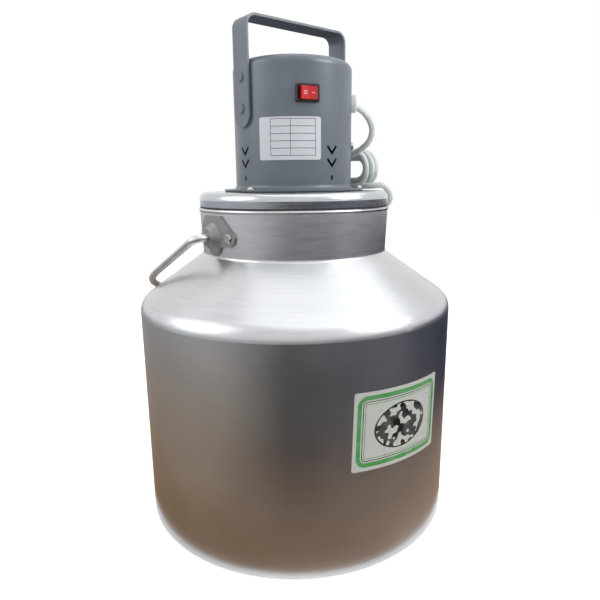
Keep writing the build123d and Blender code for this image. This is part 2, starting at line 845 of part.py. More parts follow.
with BuildPart() as tie_nuts:
    for azimuth in tie_azimuths:
        seat = Plane(origin=polar(tie_circle, azimuth, lid_underside), z_dir=(0, 0, -1))
        add(hex_nut(seat, tie_radius, nut_flats, nut_thickness))

with BuildPart() as motor_spacers:
    with BuildSketch(Plane.XY.offset(lid_top)):
        for azimuth in tie_azimuths:
            with Locations(polar(tie_circle, azimuth, 0)):
                Circle(spacer_radius)
                Circle(tie_radius + hole_clearance, mode=Mode.SUBTRACT)
    extrude(amount=bracket_bottom - lid_top)

# Run capacitor on the upper bracket
capacitor_foot = Plane(
    origin=polar(capacitor_distance, capacitor_azimuth, bracket_top),
    x_dir=wall_plane(0, capacitor_azimuth, 0).x_dir,
)
with BuildPart() as capacitor:
    with BuildSketch(capacitor_foot):
        RectangleRounded(capacitor_size[0], capacitor_size[1], capacitor_corner)
    extrude(amount=capacitor_size[2])
    with BuildSketch(capacitor_foot.offset(capacitor_size[2])):
        with GridLocations(capacitor_size[0] / 2, 0, 2, 1):
            Rectangle(terminal_size[1], terminal_size[0])
    extrude(amount=terminal_size[2])

# Fan on the shaft's upper end: a disc with raised blades
fan_bottom = shaft_top - fan_shaft_stub - fan_height
with BuildPart() as cooling_fan:
    with BuildSketch(Plane.XY.offset(fan_bottom)):
        Circle(fan_radius)
    extrude(amount=fan_disc)
    with BuildSketch(Plane.XY.offset(fan_bottom)):
        Circle(fan_hub_radius)
        with PolarLocations((fan_radius + fan_hub_radius) / 2, fan_blades):
            Rectangle(fan_radius - fan_hub_radius - 2, fan_disc, rotation=fan_blade_turn)
    extrude(amount=fan_height)
    with BuildSketch(Plane.XY.offset(fan_bottom)):
        Circle(shaft_radius)
    extrude(amount=fan_height, mode=Mode.SUBTRACT)

# Coupling between the motor's shaft and the agitator
coupling_bottom = coupling_top - coupling_length
with BuildPart() as shaft_coupling:
    with BuildSketch(Plane.XY.offset(coupling_bottom)):
        Circle(coupling_radius)
    extrude(amount=coupling_length)
    chamfer(shaft_coupling.edges().filter_by(GeomType.CIRCLE), length=1)
    with BuildSketch(Plane.XY.offset(coupling_bottom)):
        Circle(agitator_radius)
    extrude(amount=shaft_bottom - coupling_bottom, mode=Mode.SUBTRACT)
    with BuildSketch(Plane.XY.offset(coupling_top)):
        Circle(shaft_radius)
    extrude(amount=-coupling_length, mode=Mode.SUBTRACT)
    for height in grub_heights:
        with BuildSketch(wall_plane(0, 0, height)):
            Circle(grub_radius)
        extrude(amount=coupling_radius, mode=Mode.SUBTRACT)

with BuildPart() as coupling_screws:
    for height, seat in zip(grub_heights, (agitator_radius, shaft_radius)):
        with BuildSketch(wall_plane(seat, 0, height)):
            Circle(grub_radius)
        extrude(amount=coupling_radius - seat)
        with BuildSketch(wall_plane(coupling_radius, 0, height)):
            RegularPolygon(radius=grub_radius / 2, side_count=6)
        extrude(amount=-grub_radius, mode=Mode.SUBTRACT)

# Agitator: a long shaft with a collar, and a propeller clamped against it by a nut
impeller_top = impeller_bottom + impeller_height
with BuildPart() as agitator_shaft:
    with BuildSketch(Plane.XY.offset(agitator_bottom)):
        Circle(agitator_radius)
    extrude(amount=agitator_top - agitator_bottom)
    with BuildSketch(Plane.XY.offset(impeller_top)):
        Circle(1.5 * agitator_radius)
    extrude(amount=agitator_radius)

blade_height = impeller_bottom + impeller_height / 2
with BuildPart() as impeller:
    with BuildSketch(Plane.XY.offset(impeller_bottom)):
        Circle(impeller_hub)
    extrude(amount=impeller_height)
    for blade in range(impeller_blades):
        azimuth = blade * 360 / impeller_blades
        with BuildSketch(wall_plane(0.8 * impeller_hub, azimuth, blade_height)):
            SlotOverall(blade_chord, blade_thickness, rotation=blade_root_pitch)
        with BuildSketch(wall_plane(impeller_radius, azimuth, blade_height)):
            SlotOverall(blade_chord, blade_thickness, rotation=blade_tip_pitch)
        loft()
    with BuildSketch(Plane.XY.offset(impeller_bottom)):
        Circle(agitator_radius)
    extrude(amount=impeller_height, mode=Mode.SUBTRACT)

with BuildPart() as impeller_nut:
    seat = Plane(origin=(0, 0, impeller_bottom), z_dir=(0, 0, -1))
    add(hex_nut(seat, agitator_radius, impeller_nut_flats, nut_height))


def bend_radii(route):
    """Largest tangent arc that each corner's two runs allow."""
    radii = []
    for before, corner, after in zip(route, route[1:], route[2:]):
        run_in = Vector(corner) - Vector(before)
        run_out = Vector(after) - Vector(corner)
        turn = radians(run_in.get_angle(run_out))
        radii.append(bend_share * min(run_in.length, run_out.length) / tan(turn / 2))
    return radii


def cord_tube(route):
    with BuildPart() as tube:
        with BuildLine():
            path = FilletPolyline(*route, radius=bend_radii(route))
        with BuildSketch(Plane(origin=path @ 0, z_dir=path % 0)):
            Circle(cord_radius)
        sweep()
    return tube, path


power_cord, power_path = cord_tube(power_route)
cord_tail, tail_path = cord_tube(tail_route)

# Wound part of the cord: an upright oval ring standing on the lid beside the housing
coil_width = 2 * cord_radius * coil_layers + coil_slack
coil_depth = 2 * cord_radius * coil_columns + coil_slack
coil_plane = Plane(
    origin=(coil_distance - coil_depth / 2, 0, lid_top + seat_gap + coil_half_height),
    x_dir=(0, 1, 0),
    z_dir=(1, 0, 0),
)
with BuildPart() as cord_coil:
    with BuildSketch(coil_plane):
        SlotOverall(2 * coil_half_length, 2 * coil_half_height)
        SlotOverall(
            2 * (coil_half_length - coil_width), 2 * (coil_half_height - coil_width), mode=Mode.SUBTRACT
        )
    extrude(amount=coil_depth)
    fillet(cord_coil.edges(), radius=cord_radius)

# Plug: a flat two-pin plug lying on the lid behind the housing, in line with the cord's last run
plug_line = (Vector(tail_route[-1]) - Vector(tail_route[-2])).normalized()
plug_start = Plane(origin=tail_route[-1], x_dir=Vector(0, 0, 1).cross(plug_line), z_dir=plug_line)
plug_tip = plug_start.offset(sleeve_length + plug_length)
with BuildPart() as plug_body:
    with BuildSketch(plug_start):
        Circle(sleeve_radii[0])
    with BuildSketch(plug_start.offset(sleeve_length)):
        Circle(sleeve_radii[1])
    loft()
    with BuildSketch(plug_start.offset(sleeve_length)):
        RectangleRounded(plug_tail[0], plug_tail[1], plug_tail[1] / 3)
    with BuildSketch(plug_tip.offset(-plug_front)):
        RectangleRounded(plug_face[0], plug_face[1], plug_tail[1] / 3)
    loft()
    with BuildSketch(plug_tip.offset(-plug_front)):
        RectangleRounded(plug_face[0], plug_face[1], plug_tail[1] / 3)
    extrude(amount=plug_front)

with BuildPart() as plug_pins:
    with BuildSketch(plug_tip):
        with GridLocations(plug_pin_spacing, 0, 2, 1):
            Circle(plug_pin_radius)
    extrude(amount=plug_pin_length)
    for end in plug_pins.faces().filter_by(Plane(origin=plug_tip.origin, z_dir=plug_line)).sort_by(
        Axis(plug_tip.origin, plug_line)
    )[-2:]:
        fillet(end.edges(), radius=plug_pin_radius / 2)

pieces = {
    "can_body": can_body,
    "can_shoulder": can_shoulder,
    "ear_left": ear_left,
    "ear_right": ear_right,
    "ear_rivets": ear_rivets,
    "picture_label": picture_label,
    "bail_handle": bail_handle,
    "lid": lid,
    "lid_collar": lid_collar,
    "lid_seal": lid_seal,
    "shaft_bush": shaft_bush,
    "housing_gasket": housing_gasket,
    "motor_housing": motor_housing,
    "flange_screws": flange_screws,
    "flange_nuts": flange_nuts,
    "carry_strap": carry_strap,
    "strap_rivets": strap_rivets,
    "rating_label": rating_label,
    "switch_frame": switch_frame,
    "switch_rocker": switch_rocker,
    "switch_terminals": switch_terminals,
    "cord_gland": cord_gland,
    "terminal_block": terminal_block,
    "block_screw": block_screw,
    "stator": stator,
    "stator_windings": stator_windings,
    "lower_bracket": lower_bracket,
    "upper_bracket": upper_bracket,
    "lower_bearing": lower_bearing,
    "upper_bearing": upper_bearing,
    "tie_bolts": tie_bolts,
    "tie_nuts": tie_nuts,
    "motor_spacers": motor_spacers,
    "capacitor": capacitor,
    "rotor_core": rotor_core,
    "rotor_end_rings": rotor_end_rings,
    "motor_shaft": motor_shaft,
    "cooling_fan": cooling_fan,
    "shaft_coupling": shaft_coupling,
    "coupling_screws": coupling_screws,
    "agitator_shaft": agitator_shaft,
    "impeller": impeller,
    "impeller_nut": impeller_nut,
    "power_cord": power_cord,
    "cord_coil": cord_coil,
    "cord_tail": cord_tail,
    "plug_body": plug_body,
    "plug_pins": plug_pins,
}
for name, piece in pieces.items():
    piece.part.label = name
    export_step(piece.part, f"parts/{name}.step")

for route, path, tube in ((power_route, power_path, power_cord), (tail_route, tail_path, cord_tail)):
    ratio = tube.part.volume / (pi * cord_radius**2 * path.length)
    radii = [round(radius, 1) for radius in bend_radii(route)]
    print("bend radii", radii, "length", round(path.length), "volume ratio", round(ratio, 4))
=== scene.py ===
from math import cos, pi, radians, sin, tan

import bmesh
import bpy
from mathutils import Matrix, Vector


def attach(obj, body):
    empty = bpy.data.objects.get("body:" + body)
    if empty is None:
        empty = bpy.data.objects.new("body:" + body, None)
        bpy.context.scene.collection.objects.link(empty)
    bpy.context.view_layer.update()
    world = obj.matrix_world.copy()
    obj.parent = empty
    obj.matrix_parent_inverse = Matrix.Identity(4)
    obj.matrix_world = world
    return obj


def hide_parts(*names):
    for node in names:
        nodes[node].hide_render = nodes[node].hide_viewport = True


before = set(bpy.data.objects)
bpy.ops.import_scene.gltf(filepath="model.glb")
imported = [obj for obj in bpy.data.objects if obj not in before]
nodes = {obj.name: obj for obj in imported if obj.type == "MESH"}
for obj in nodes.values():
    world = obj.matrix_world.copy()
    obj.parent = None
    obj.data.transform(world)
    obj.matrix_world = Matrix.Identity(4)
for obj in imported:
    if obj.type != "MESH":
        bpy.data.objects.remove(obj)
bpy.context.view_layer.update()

scene = bpy.context.scene
scene.view_settings.view_transform = "Standard"


def linear(hexColour):
    channels = [int(hexColour[i : i + 2], 16) / 255 for i in (1, 3, 5)]
    return [c / 12.92 if c <= 0.04045 else ((c + 0.055) / 1.055) ** 2.4 for c in channels] + [1.0]


def add(tree, kind, settings=None, sockets=None):
    node = tree.nodes.new("ShaderNode" + kind)
    for name, value in (settings or {}).items():
        setattr(node, name, value)
    for name, value in (sockets or {}).items():
        if isinstance(value, bpy.types.NodeSocket):
            tree.links.new(value, node.inputs[name])
        else:
            node.inputs[name].default_value = value
    return node


# Camera, worked back from the outlines of the can, neck, lid and housing
view = dict(
    place=(-0.3300, -0.4179, 0.3257), yaw=38.841, pitch=12.6995, roll=-0.5663,
    lens=31.898, sensor=36.0, nearest=0.01,
)

lensData = bpy.data.cameras.new("viewCamera")
lensData.lens, lensData.sensor_width = view["lens"], view["sensor"]
lensData.clip_start = view["nearest"]
camera = bpy.data.objects.new("viewCamera", lensData)
scene.collection.objects.link(camera)
camera.matrix_world = (
    Matrix.Translation(view["place"])
    @ Matrix.Rotation(radians(-view["yaw"]), 4, "Z")
    @ Matrix.Rotation(radians(90 - view["pitch"]), 4, "X")
    @ Matrix.Rotation(radians(view["roll"]), 4, "Z")
)
scene.camera = camera
print("camera set")


# Mains cord: limp round flex from the grommet, wound up beside the housing, then round to the plug
cordRoute = dict(
    radius=0.0029,
    exit=(0.0478, -0.0364, 0.396),
    length=1.054,
    leaving=[
        (0.0318, -0.0242, 0.396), (0.0493, -0.0376, 0.3955), (0.065, -0.043, 0.378),
        (0.0675, -0.038, 0.363), (0.065, -0.026, 0.3545), (0.064, -0.012, 0.3495),
    ],
    ending=[
        (0.070, -0.029, 0.3194), (0.075, -0.0375, 0.3196), (0.082, -0.0425, 0.321),
        (0.0941, -0.0425, 0.3105), (0.1013, -0.0335, 0.3004), (0.1038, -0.0183, 0.2975),
        (0.1013, 0.0029, 0.3074), (0.0959, 0.023, 0.3154), (0.0845, 0.0431, 0.3215),
        (0.067, 0.0595, 0.3225),
    ],
)
cordCoil = dict(
    x=0.0703, z=0.3364,
    turns=5.43, turnBack=2.5,  # out along X as the inner layer, then back over it
    perTurn=14,
    pitch=0.0064, lead=0.006, layer=0.0064,
    bend=0.0115, straight=0.0123,  # each turn is a slot: two round ends and the runs between
    sway=(0.0009, 2.3), swell=(0.00025, 1.9),
)


def coilTurns(coil):
    points = []
    half = coil["perTurn"] // 2
    for step in range(1, round(coil["turns"] * coil["perTurn"]) + 1):
        turn = step / coil["perTurn"]
        past = turn - coil["turnBack"]
        out = coil["pitch"] * (coil["turnBack"] - abs(past)) - coil["lead"] * max(0, 1 - 2 * turn)
        bend = coil["bend"] + coil["layer"] * min(max(2 * past + 0.5, 0), 1)
        bend += coil["swell"][0] * sin(coil["swell"][1] * turn + 1)
        straight = coil["straight"] + coil["sway"][0] * sin(coil["sway"][1] * turn)
        around = 2 * straight + pi * bend
        run = step % half * around / half
        side = 1 if step % coil["perTurn"] < half else -1
        angle = min(max(run - straight, 0) / bend, pi)
        across = min(run, straight, around - run) + bend * sin(angle)
        points.append((coil["x"] + out, side * across, coil["z"] + side * bend * cos(angle)))
    return points


curve = bpy.data.curves.new("mainsCord", "CURVE")
curve.dimensions = "3D"
curve.bevel_depth = 1.0  # the radius at each point then sets the size, and the curve's box stays tight
curve.bevel_resolution, curve.resolution_u, curve.use_fill_caps = 6, 8, True
spline = curve.splines.new("NURBS")
route = cordRoute["leaving"] + coilTurns(cordCoil) + cordRoute["ending"]
spline.points.add(len(route) - 1)
for point, place in zip(spline.points, route):
    point.co, point.radius = (*place, 1), cordRoute["radius"]
spline.order_u, spline.use_endpoint_u = 3, True
mainsCord = bpy.data.objects.new("mainsCord", curve)
scene.collection.objects.link(mainsCord)
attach(mainsCord, "head")
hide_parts("power_cord", "cord_coil", "cord_tail")
print("cord:", len(route), "route points")


# Materials. Object coordinates are the row frame in metres, so a scale of 1000 / mm gives that size
noiseLow, noiseHigh = 0.3, 0.7  # where nearly all of a noise's values lie


def begin(name):
    material = bpy.data.materials.new(name)
    material.use_nodes = True
    material.node_tree.nodes.clear()
    return material, material.node_tree


def turnedSpace(tree, place, lineMm, streaks):
    # Height less radius runs along the wall of anything turned about Z, and more streaks break a ring
    # into shorter arcs
    split = add(tree, "SeparateXYZ", None, {0: place})
    flat = add(tree, "CombineXYZ", None, {"X": split.outputs["X"], "Y": split.outputs["Y"]}).outputs[0]
    radius = add(tree, "VectorMath", {"operation": "LENGTH"}, {0: flat}).outputs["Value"]
    along = add(tree, "Math", {"operation": "SUBTRACT"}, {0: split.outputs["Z"], 1: radius}).outputs[0]
    rings = add(tree, "Math", {"operation": "MULTIPLY"}, {0: along, 1: 1000 / lineMm}).outputs[0]
    facing = add(tree, "VectorMath", {"operation": "NORMALIZE"}, {0: flat}).outputs[0]
    round_ = add(tree, "VectorMath", {"operation": "SCALE"}, {0: facing, "Scale": streaks}).outputs[0]
    lift = add(tree, "CombineXYZ", None, {"Z": rings}).outputs[0]
    return add(tree, "VectorMath", {"operation": "ADD"}, {0: round_, 1: lift}).outputs[0]


def surface(name, look):
    material, tree = begin(name)
    place = add(tree, "TexCoord").outputs["Object"]
    cloud = add(tree, "TexNoise", None, {
        "Vector": place, "Scale": 1000 / look["cloudMm"], "Detail": 3.0,
    }).outputs["Fac"]
    if "lineMm" in look:
        grainPlace, grainScale = turnedSpace(tree, place, look["lineMm"], look["streaks"]), 1.0
    else:
        grainPlace, grainScale = place, 1000 / look["grainMm"]
    grain = add(tree, "TexNoise", None, {
        "Vector": grainPlace, "Scale": grainScale, "Detail": look.get("detail", 2.0),
    }).outputs["Fac"]
    share = look.get("cloudShare", 0.5)
    both = add(tree, "Mix", {"data_type": "FLOAT"}, {0: share, 2: grain, 3: cloud}).outputs[0]
    mixed = add(tree, "MapRange", None, {0: both, 1: noiseLow, 2: noiseHigh, 3: 0.0, 4: 1.0}).outputs[0]
    colour = add(tree, "Mix", {"data_type": "RGBA"}, {
        0: mixed, 6: linear(look["dark"]), 7: linear(look["light"]),
    }).outputs[2]
    rough = add(tree, "MapRange", None, {
        0: both, 1: noiseLow, 2: noiseHigh, 3: look["roughness"][0], 4: look["roughness"][1],
    }).outputs[0]
    bump = add(tree, "Bump", None, {
        "Strength": 1.0, "Distance": look["reliefMm"] / 1000, "Height": grain,
    }).outputs[0]
    shader = add(tree, "BsdfPrincipled", None, {
        "Base Color": colour, "Roughness": rough, "Normal": bump, "Metallic": look.get("metallic", 0.0),
        **look.get("sockets", {}),
    })
    add(tree, "OutputMaterial", None, {"Surface": shader.outputs[0]})
    return material


def dress(material, *names):
    for name in names:
        slots = nodes[name].data.materials
        slots.clear()
        slots.append(material)


finishes = {
    # Spun sheet aluminium, dulled by handling: rings from the forming tool, a soft sheen across them.
    # The real rings are a few tenths apart, drawn at over a millimetre to show
    "spunAluminiumCan": (dict(
        light="#C4C6C8", dark="#B2B4B6", roughness=(0.285, 0.33), metallic=1.0, cloudMm=90, cloudShare=0.75,
        lineMm=1.6, streaks=2.0, reliefMm=0.003,
        sockets={"Anisotropic": 0.55, "Anisotropic Rotation": 0.25},
    ), ["can_body"]),
    # The same sheet, pressed over a former and wiped: brighter, with broader rings
    "spunAluminiumShoulder": (dict(
        light="#CFD1D3", dark="#BEC0C3", roughness=(0.285, 0.36), metallic=1.0, cloudMm=70, cloudShare=0.5,
        lineMm=2.6, streaks=4.0, reliefMm=0.03,
        sockets={"Anisotropic": 0.4, "Anisotropic Rotation": 0.25},
    ), ["can_shoulder"]),
    # Turned and buffed aluminium: smoother, so the rounded edge takes sharp lights
    "buffedAluminiumLid": (dict(
        light="#CACDD0", dark="#B8BCC0", roughness=(0.17, 0.27), metallic=1.0, cloudMm=40, cloudShare=0.5,
        lineMm=1.8, streaks=3.0, reliefMm=0.010,
        sockets={"Anisotropic": 0.3, "Anisotropic Rotation": 0.25},
    ), ["lid", "lid_collar"]),
    # Silver-grey stoving enamel on sheet steel: fine metal flake and slight orange peel
    "silverEnamel": (dict(
        light="#697179", dark="#5D656D", roughness=(0.34, 0.44), metallic=0.25, cloudMm=35, cloudShare=0.6,
        grainMm=1.2, reliefMm=0.010, sockets={"Coat Weight": 0.12, "Coat Roughness": 0.3},
    ), ["motor_housing", "carry_strap", "strap_rivets"]),
    # Pressed aluminium ear, tumbled: dull and faintly pitted
    "tumbledAluminium": (dict(
        light="#A3A3A1", dark="#868684", roughness=(0.42, 0.56), metallic=0.85, cloudMm=16, cloudShare=0.5,
        grainMm=0.9, reliefMm=0.03,
    ), ["ear_left", "ear_right"]),
    # Headed aluminium rivet: bright where the set struck it
    "setRivet": (dict(
        light="#D9DADB", dark="#B7B8BA", roughness=(0.16, 0.28), metallic=1.0, cloudMm=4, grainMm=0.5,
        reliefMm=0.01,
    ), ["ear_rivets"]),
    # Zinc-plated steel wire: pale, with soft cloudy plating and draw marks
    "platedWire": (dict(
        light="#DCDDDD", dark="#BFC0C0", roughness=(0.24, 0.38), metallic=0.9, cloudMm=14, cloudShare=0.6,
        grainMm=0.8, reliefMm=0.012,
    ), ["bail_handle"]),
    # Zinc-plated machine screws and nuts
    "zincPlate": (dict(
        light="#D3D4D2", dark="#AFB1B0", roughness=(0.2, 0.32), metallic=1.0, cloudMm=3, grainMm=0.4,
        reliefMm=0.006,
    ), ["flange_screws", "flange_nuts", "tie_bolts", "tie_nuts", "motor_spacers", "block_screw",
        "coupling_screws"]),
    # Moulded black nylon: fine spark-eroded texture, satin
    "blackNylon": (dict(
        light="#1C1D1F", dark="#121315", roughness=(0.38, 0.5), cloudMm=6, grainMm=0.35, reliefMm=0.008,
    ), ["switch_frame"]),
    # Moulded red polycarbonate: glossy, colour through the wall
    "redPolycarbonate": (dict(
        light="#C4171C", dark="#AE1116", roughness=(0.18, 0.26), cloudMm=5, grainMm=0.6, reliefMm=0.003,
        sockets={"Subsurface Weight": 0.08, "Subsurface Radius": (0.002, 0.0004, 0.0003)},
    ), ["switch_rocker"]),
    # Soft white PVC: milky, satin, picks up grey where it is handled
    "whitePvc": (dict(
        light="#DDE1DF", dark="#C6CCCA", roughness=(0.36, 0.48), cloudMm=22, cloudShare=0.7, grainMm=0.8,
        reliefMm=0.010, sockets={"Subsurface Weight": 0.1, "Subsurface Radius": (0.002, 0.002, 0.0018)},
    ), ["cord_gland", "plug_body"]),
    # Nickel-plated brass contact pins
    "nickelPlate": (dict(
        light="#D8D6CF", dark="#BDBAB2", roughness=(0.12, 0.22), metallic=1.0, cloudMm=4, grainMm=0.4,
        reliefMm=0.004,
    ), ["plug_pins"]),
    # Rolled brass terminals
    "rolledBrass": (dict(
        light="#C9A557", dark="#A88438", roughness=(0.24, 0.36), metallic=1.0, cloudMm=4, grainMm=0.4,
        reliefMm=0.006,
    ), ["switch_terminals"]),
    # Cut EPDM rubber: matt, slightly dusty
    "epdmRubber": (dict(
        light="#2B2B2C", dark="#1E1E1F", roughness=(0.7, 0.85), cloudMm=8, grainMm=0.5, reliefMm=0.03,
    ), ["lid_seal", "housing_gasket"]),
    # Machined natural nylon: cream, waxy
    "naturalNylon": (dict(
        light="#E6E1D2", dark="#D5CFBD", roughness=(0.4, 0.52), cloudMm=6, grainMm=0.6, reliefMm=0.008,
    ), ["shaft_bush", "terminal_block", "cooling_fan"]),
    # Stacked silicon-steel sheets: the lines are the sheet edges, drawn a millimetre apart
    "stackedLaminations": (dict(
        light="#77797C", dark="#4E5053", roughness=(0.4, 0.55), metallic=0.9, cloudMm=12, cloudShare=0.3,
        lineMm=1.0, streaks=0.5, reliefMm=0.05,
    ), ["stator", "rotor_core"]),
    # Enamelled copper winding
    "enamelledCopper": (dict(
        light="#B8683A", dark="#8A4420", roughness=(0.26, 0.38), metallic=0.85, cloudMm=5, cloudShare=0.4,
        lineMm=0.9, streaks=2.0, reliefMm=0.12,
    ), ["stator_windings"]),
    # Sand-textured cast aluminium end brackets and rotor rings
    "castAluminium": (dict(
        light="#A9ABAD", dark="#8C8E90", roughness=(0.48, 0.6), metallic=0.9, cloudMm=10, grainMm=1.0,
        reliefMm=0.06,
    ), ["lower_bracket", "upper_bracket", "rotor_end_rings"]),
    # Ground bearing steel
    "groundSteel": (dict(
        light="#C2C4C7", dark="#A6A8AC", roughness=(0.14, 0.24), metallic=1.0, cloudMm=6, lineMm=0.8,
        streaks=2.0, reliefMm=0.006,
    ), ["lower_bearing", "upper_bearing", "motor_shaft", "shaft_coupling"]),
    # Turned and passivated stainless steel, for what works in the cream
    "turnedStainless": (dict(
        light="#C9CACB", dark="#AEB0B1", roughness=(0.2, 0.3), metallic=1.0, cloudMm=18, lineMm=1.0,
        streaks=2.0, reliefMm=0.01,
    ), ["agitator_shaft", "impeller", "impeller_nut"]),
    # Spun capacitor can
    "capacitorCan": (dict(
        light="#B9BBBE", dark="#9EA0A3", roughness=(0.24, 0.34), metallic=1.0, cloudMm=12, lineMm=1.0,
        streaks=2.0, reliefMm=0.008,
    ), ["capacitor"]),
}
for name, (look, wearers) in finishes.items():
    finish = surface(name, look)
    dress(finish, *wearers)
    if name == "whitePvc":
        mainsCord.data.materials.append(finish)
print("finishes:", len(finishes))


# Foil labels: printed film on the metal, flat to it, with a satin face
def labelSpace(tree, label):
    # (across, up) in metres from the label's middle, seen from outside
    azimuth, radius = radians(label["azimuth"]), label["radius"]
    split = add(tree, "SeparateXYZ", None, {0: add(tree, "TexCoord").outputs["Object"]})
    back = add(tree, "Math", {"operation": "MULTIPLY"}, {0: split.outputs["Y"], 1: -1.0}).outputs[0]
    angle = add(tree, "Math", {"operation": "ARCTAN2"}, {0: split.outputs["X"], 1: back}).outputs[0]
    across = add(tree, "Math", {"operation": "MULTIPLY_ADD"}, {
        0: angle, 1: radius, 2: -azimuth * radius,
    }).outputs[0]
    up = add(tree, "Math", {"operation": "SUBTRACT"}, {
        0: split.outputs["Z"], 1: label["height"],
    }).outputs[0]
    flat = add(tree, "CombineXYZ", None, {"X": across, "Y": up}).outputs[0]
    return add(tree, "Mapping", None, {
        "Vector": flat, "Rotation": (0, 0, radians(label["tilt"])),
    }).outputs[0]


wear = dict(
    scale=90.0, detail=4.0,  # marks about 11 mm across
    start=0.35, full=0.75, most=0.22, tone="#B9B7B2",
    smoother=0.05, rougher=0.08, relief=0.00002,
)


def foil(tree, colour, roughness):
    worn = add(tree, "TexNoise", None, {
        "Vector": add(tree, "TexCoord").outputs["Object"],
        "Scale": wear["scale"], "Detail": wear["detail"],
    }).outputs["Fac"]
    handled = add(tree, "MapRange", None, {
        0: worn, 1: wear["start"], 2: wear["full"], 3: 0.0, 4: wear["most"],
    }).outputs[0]
    dulled = add(tree, "Mix", {"data_type": "RGBA"}, {
        0: handled, 6: colour, 7: linear(wear["tone"]),
    }).outputs[2]
    gloss = add(tree, "MapRange", None, {
        0: worn, 1: noiseLow, 2: noiseHigh,
        3: roughness - wear["smoother"], 4: roughness + wear["rougher"],
    }).outputs[0]
    bump = add(tree, "Bump", None, {
        "Strength": 1.0, "Distance": wear["relief"], "Height": worn,
    }).outputs[0]
    shader = add(tree, "BsdfPrincipled", None, {"Base Color": dulled, "Roughness": gloss, "Normal": bump})
    add(tree, "OutputMaterial", None, {"Surface": shader.outputs[0]})


# Silvered plate foil printed with a ruled table
table = dict(
    azimuth=-41.3, radius=0.05565, height=0.361, tilt=0.0,
    columns=(-0.0171, 0.0006, 0.0227), rows=(0.0163, 0.0102, 0.0041, -0.002, -0.0081, -0.0142),
    rule=0.00028, ground="#C9CCD3", ink="#4A4D57", roughness=0.36,
)
ruledFoil, tree = begin("printedSilverFoil")
where = add(tree, "SeparateXYZ", None, {0: labelSpace(tree, table)})
ruled = None
for lines, across, along in ((table["columns"], "X", "Y"), (table["rows"], "Y", "X")):
    ends = table["rows"] if along == "Y" else table["columns"]
    middle, reach = (ends[0] + ends[-1]) / 2, abs(ends[0] - ends[-1]) / 2
    inside = add(tree, "Math", {"operation": "COMPARE"}, {
        0: where.outputs[along], 1: middle, 2: reach + table["rule"],
    }).outputs[0]
    for line in lines:
        near = add(tree, "Math", {"operation": "COMPARE"}, {
            0: where.outputs[across], 1: line, 2: table["rule"],
        }).outputs[0]
        drawn = add(tree, "Math", {"operation": "MULTIPLY"}, {0: near, 1: inside}).outputs[0]
        ruled = drawn if ruled is None else add(tree, "Math", {"operation": "MAXIMUM"}, {
            0: ruled, 1: drawn,
        }).outputs[0]
inked = add(tree, "Mix", {"data_type": "RGBA"}, {
    0: ruled, 6: linear(table["ground"]), 7: linear(table["ink"]),
})
foil(tree, inked.outputs[2], table["roughness"])
dress(ruledFoil, "rating_label")

# Picture foil: a rounded green frame round an oval of black patches
picture = dict(
    azimuth=-3.0, radius=0.15215, height=0.1273, tilt=1.7,
    half=(0.0485, 0.034), corner=0.012,
    bands=((0.0050, 0.0019, "#2F8A3C"), (0.0084, 0.0004, "#23302A"), (0.0104, 0.0003, "#2F8A3C")),
    oval=(0.0285, 0.0195), rim=0.03, patchMm=9, patchAbove=0.47,
    ground="#B0B2AC", ink="#191A1A", roughness=0.3,
)
pictureFoil, tree = begin("printedPictureFoil")
where = labelSpace(tree, picture)
folded = add(tree, "VectorMath", {"operation": "ABSOLUTE"}, {0: where}).outputs[0]
inner = [side - picture["corner"] for side in picture["half"]]
beyond = add(tree, "VectorMath", {"operation": "SUBTRACT"}, {0: folded, 1: (*inner, 0)}).outputs[0]
outside = add(tree, "VectorMath", {"operation": "MAXIMUM"}, {0: beyond, 1: (0, 0, 0)}).outputs[0]
cornerway = add(tree, "VectorMath", {"operation": "LENGTH"}, {0: outside}).outputs["Value"]
parts = add(tree, "SeparateXYZ", None, {0: beyond})
larger = add(tree, "Math", {"operation": "MAXIMUM"}, {
    0: parts.outputs["X"], 1: parts.outputs["Y"],
}).outputs[0]
within = add(tree, "Math", {"operation": "MINIMUM"}, {0: larger, 1: 0.0}).outputs[0]
# Grows outwards, and equals the corner radius along the label's outer edge
edge = add(tree, "Math", {"operation": "ADD"}, {0: cornerway, 1: within}).outputs[0]
colour = linear(picture["ground"])
for inset, halfWidth, hexColour in picture["bands"]:
    band = add(tree, "Math", {"operation": "COMPARE"}, {
        0: edge, 1: picture["corner"] - inset, 2: halfWidth,
    }).outputs[0]
    colour = add(tree, "Mix", {"data_type": "RGBA"}, {
        0: band, 6: colour, 7: linear(hexColour),
    }).outputs[2]
stretched = add(tree, "VectorMath", {"operation": "DIVIDE"}, {
    0: where, 1: (*picture["oval"], 1),
}).outputs[0]
reach = add(tree, "VectorMath", {"operation": "LENGTH"}, {0: stretched}).outputs["Value"]
inOval = add(tree, "Math", {"operation": "LESS_THAN"}, {0: reach, 1: 1.0}).outputs[0]
blotch = add(tree, "TexNoise", None, {
    "Vector": where, "Scale": 1000 / picture["patchMm"], "Detail": 1.0,
}).outputs["Fac"]
dark = add(tree, "Math", {"operation": "GREATER_THAN"}, {
    0: blotch, 1: picture["patchAbove"],
}).outputs[0]
patch = add(tree, "Math", {"operation": "MULTIPLY"}, {0: dark, 1: inOval}).outputs[0]
rim = add(tree, "Math", {"operation": "COMPARE"}, {0: reach, 1: 1.0, 2: picture["rim"]}).outputs[0]
for inked in (patch, rim):
    colour = add(tree, "Mix", {"data_type": "RGBA"}, {
        0: inked, 6: colour, 7: linear(picture["ink"]),
    }).outputs[2]
foil(tree, colour, picture["roughness"])
dress(pictureFoil, "picture_label")
print("labels printed")


